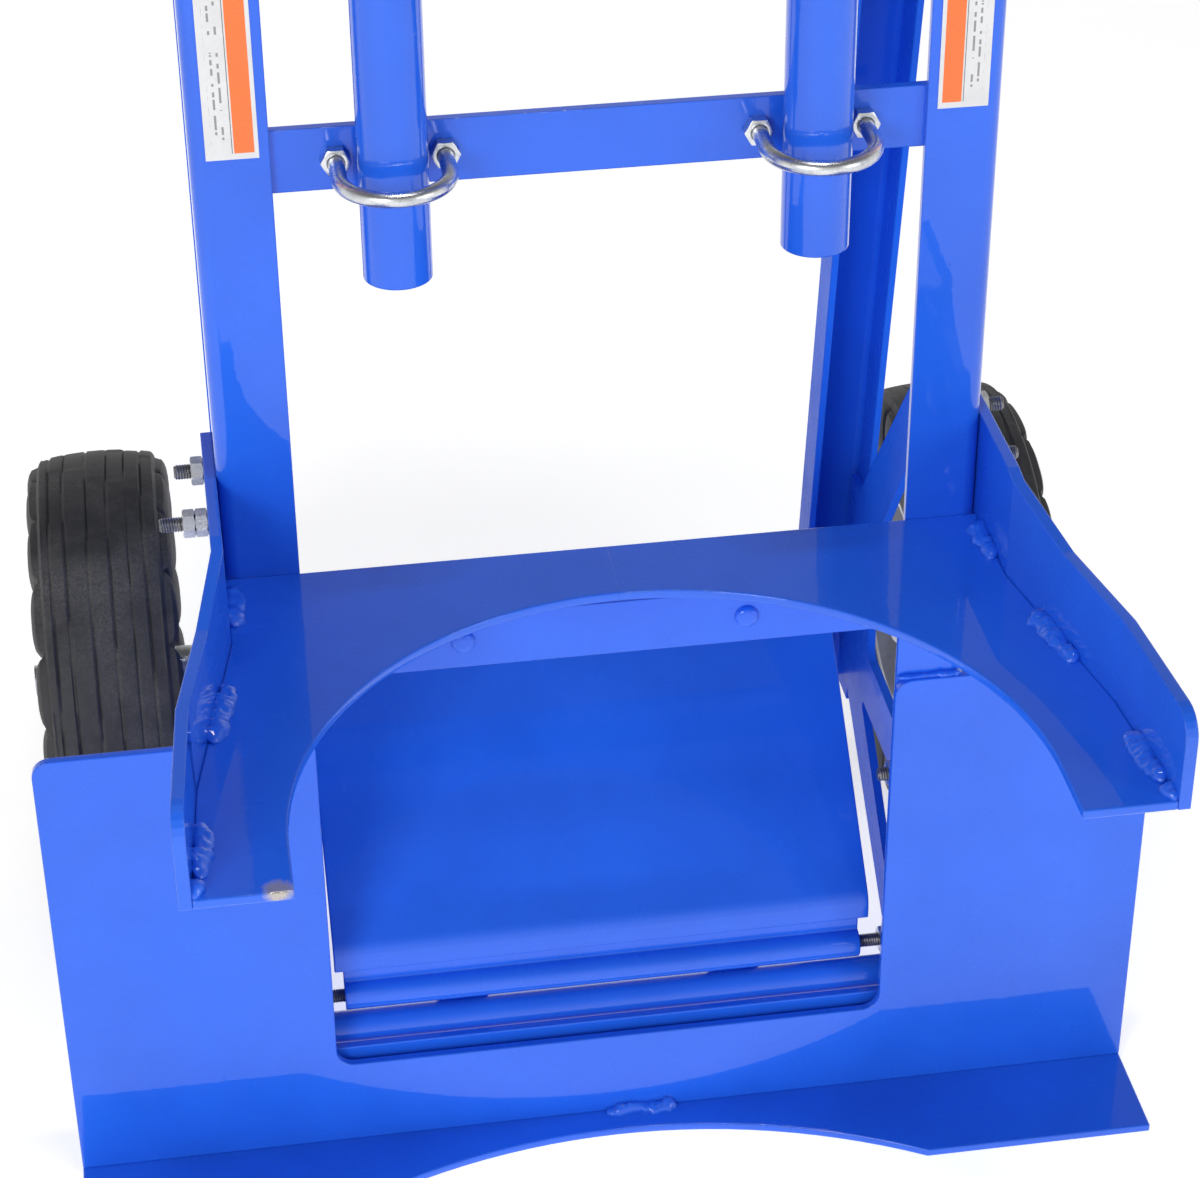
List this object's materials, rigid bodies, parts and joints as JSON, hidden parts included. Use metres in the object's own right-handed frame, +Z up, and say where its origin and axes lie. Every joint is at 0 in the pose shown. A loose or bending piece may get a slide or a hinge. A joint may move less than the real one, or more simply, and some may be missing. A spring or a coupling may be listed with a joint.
{
  "type": "two-wheel hand truck with round-load cradle",
  "caption": "Tall steel hand truck with a curved cradle, a wide blade and nose, a fold-down toe plate, a clamped loop handle and rubber wheels.",
  "frame": {"origin": "on the floor under the middle of the blade's front face, at the nose plate's underside", "axes": "+X to the right of someone facing the load side, +Y from the load side to the back, +Z up"},
  "size_m": [0.634, 0.694, 1.5816],
  "materials": {
    "blue_paint": "glossy baked enamel with orange peel",
    "zinc_steel": "bright zinc plate",
    "tyre_rubber": "matt ribbed rubber",
    "hub_paint": "semi-gloss light grey enamel",
    "grip_rubber": "soft ribbed grip rubber",
    "label_film": "blank printed vinyl sticker"
  },
  "bodies": {
    "frame": {"nose_plate": "blue_paint", "blade_plate": "blue_paint", "rail_left": "blue_paint", "rail_right": "blue_paint", "crossbar_lower": "blue_paint", "crossbar_clamp": "blue_paint", "crossbar_middle": "blue_paint", "crossbar_top": "blue_paint", "crossbar_foot": "blue_paint", "cradle_plate": "blue_paint", "wing_left": "blue_paint", "wing_right": "blue_paint", "brace_left": "blue_paint", "brace_right": "blue_paint", "gusset_left": "blue_paint", "gusset_right": "blue_paint", "top_gusset_left": "blue_paint", "top_gusset_right": "blue_paint", "brace_tie": "blue_paint", "toe_cross_tube": "blue_paint", "toe_rest_straps": "blue_paint", "axle_plate_left": "blue_paint", "axle_plate_right": "blue_paint", "axle": "zinc_steel", "axle_spacers": "zinc_steel", "axle_washers": "zinc_steel", "cotter_pins": "zinc_steel", "ubolts": "zinc_steel", "ubolt_nuts": "zinc_steel", "toe_pivot_bolts": "zinc_steel", "gusset_bolts": "zinc_steel", "gusset_nuts": "zinc_steel", "wing_bolts": "zinc_steel", "wing_nuts": "zinc_steel", "crossbar_bolts": "blue_paint", "label_left": "label_film", "label_right": "label_film"},
    "left_wheel": {"hub_left": "hub_paint", "tyre_left": "tyre_rubber", "bearings_left": "zinc_steel"},
    "right_wheel": {"hub_right": "hub_paint", "tyre_right": "tyre_rubber", "bearings_right": "zinc_steel"},
    "handle": {"handle_tube": "blue_paint", "grip_left": "grip_rubber", "grip_right": "grip_rubber"},
    "toe_plate": {"toe_plate": "blue_paint"}
  },
  "joints": [
    {"name": "left_wheel_spin", "type": "hinge", "parent": "frame", "child": "left_wheel", "pos_m": [-0.267, 0.3, 0.14], "axis": [1, 0, 0], "continuous": true},
    {"name": "right_wheel_spin", "type": "hinge", "parent": "frame", "child": "right_wheel", "pos_m": [0.267, 0.3, 0.14], "axis": [1, 0, 0], "continuous": true},
    {"name": "handle_slide", "type": "slide", "parent": "frame", "child": "handle", "axis": [0, 0, 1], "range_m": [-0.13, 0.03]},
    {"name": "toe_plate_hinge", "type": "hinge", "parent": "frame", "child": "toe_plate", "pos_m": [0, 0.027, 0.09], "axis": [1, 0, 0], "range_deg": [0, 134]}
  ]
}
